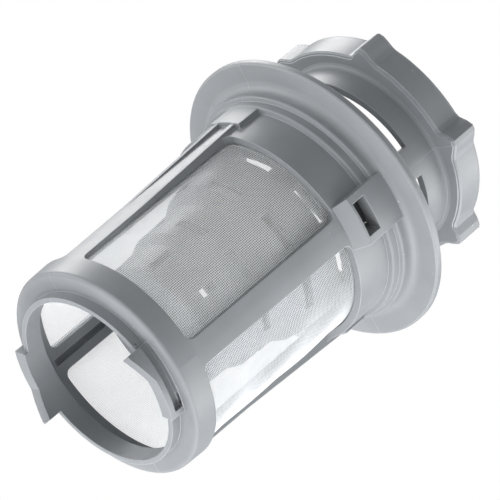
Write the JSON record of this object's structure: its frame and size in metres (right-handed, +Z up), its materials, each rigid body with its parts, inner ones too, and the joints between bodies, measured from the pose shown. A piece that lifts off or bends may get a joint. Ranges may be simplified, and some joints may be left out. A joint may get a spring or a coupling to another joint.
{
  "type": "dishwasher filter",
  "caption": "Grey plastic dishwasher filter: a flanged cylinder frame with fine mesh windows and bayonet lugs, and a lift-out coarse basket with a lobed hand ring.",
  "frame": {"origin": "centre of the footprint at the level of the tips of the bayonet lugs, on the filter's axis", "axes": "+Z up along the filter's axis, from the lugs to the hand ring; +X through the front rib and the front snap window"},
  "size_m": [0.088, 0.088, 0.1267],
  "materials": {
    "frame_plastic": "moulded polypropylene, mid grey, soft sheen",
    "mesh": "fine white woven polyester mesh"
  },
  "bodies": {
    "micro_filter": {"micro_filter_frame": "frame_plastic", "mesh_panel_1": "mesh", "mesh_panel_2": "mesh", "mesh_panel_3": "mesh", "mesh_panel_4": "mesh"},
    "coarse_filter": {"coarse_filter": "frame_plastic"}
  },
  "joints": [
    {"name": "coarse_filter_lift", "type": "slide", "parent": "micro_filter", "child": "coarse_filter", "axis": [0, 0, 1], "range_m": [0, 0.07]}
  ]
}
